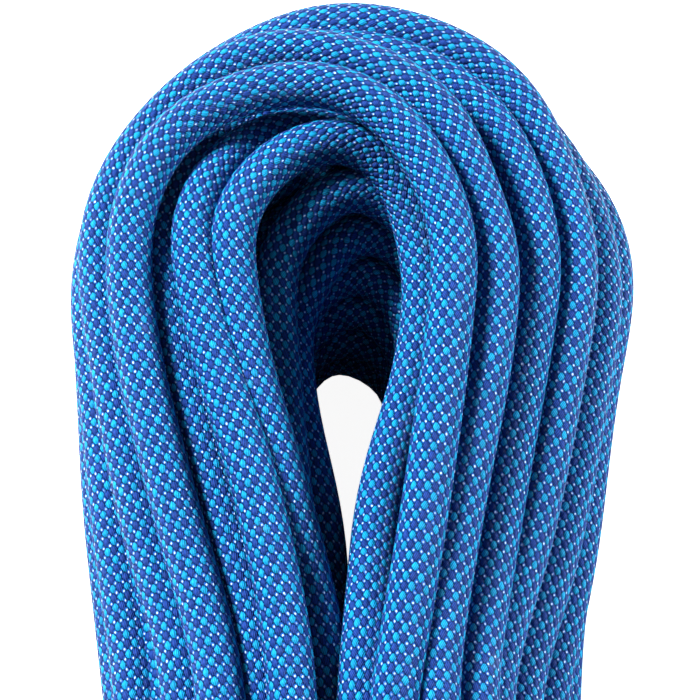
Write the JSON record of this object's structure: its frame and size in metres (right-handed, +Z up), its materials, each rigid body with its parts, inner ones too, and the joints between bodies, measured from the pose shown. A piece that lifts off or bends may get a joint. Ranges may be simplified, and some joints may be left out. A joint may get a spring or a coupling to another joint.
{
  "type": "dynamic climbing rope",
  "caption": "Kernmantle dynamic climbing rope, two-tone blue braided sheath, folded into a long hank and tied round its waist with its own end.",
  "frame": {"origin": "on the surface that the hank lies on, under the middle of its outline", "axes": "+X across the hank, +Y along it towards its head, +Z up"},
  "size_m": [0.122, 0.726, 0.0997],
  "materials": {
    "sheath_weave": "tight plain braid of bright cyan, navy and pale blue polyamide yarns, low sheen",
    "core_nylon": "undyed twisted polyamide filament, satin",
    "marker_tape": "thin satin polymer film",
    "end_band": "plain white printed film with coloured edge stripes, no text",
    "shrink_sleeve": "clear glossy heat-shrink film",
    "fused_tip": "melted and hardened polyamide, semi-gloss"
  },
  "bodies": {
    "root": {"hank": "sheath_weave", "waist_wraps": "sheath_weave", "start_tail_sheath": "sheath_weave", "start_core_strand_01": "core_nylon", "start_core_strand_02": "core_nylon", "start_core_strand_03": "core_nylon", "start_core_strand_04": "core_nylon", "start_core_strand_05": "core_nylon", "start_core_strand_06": "core_nylon", "start_core_strand_07": "core_nylon", "start_core_strand_08": "core_nylon", "start_core_strand_09": "core_nylon", "start_core_strand_10": "core_nylon", "start_core_strand_11": "core_nylon", "start_core_strand_12": "core_nylon", "start_marker_tape": "marker_tape", "start_end_band": "end_band", "start_shrink_sleeve": "shrink_sleeve", "start_fused_tip": "fused_tip", "finish_tail_sheath": "sheath_weave", "finish_core_strand_01": "core_nylon", "finish_core_strand_02": "core_nylon", "finish_core_strand_03": "core_nylon", "finish_core_strand_04": "core_nylon", "finish_core_strand_05": "core_nylon", "finish_core_strand_06": "core_nylon", "finish_core_strand_07": "core_nylon", "finish_core_strand_08": "core_nylon", "finish_core_strand_09": "core_nylon", "finish_core_strand_10": "core_nylon", "finish_core_strand_11": "core_nylon", "finish_core_strand_12": "core_nylon", "finish_marker_tape": "marker_tape", "finish_end_band": "end_band", "finish_shrink_sleeve": "shrink_sleeve", "finish_fused_tip": "fused_tip"}
  },
  "joints": []
}
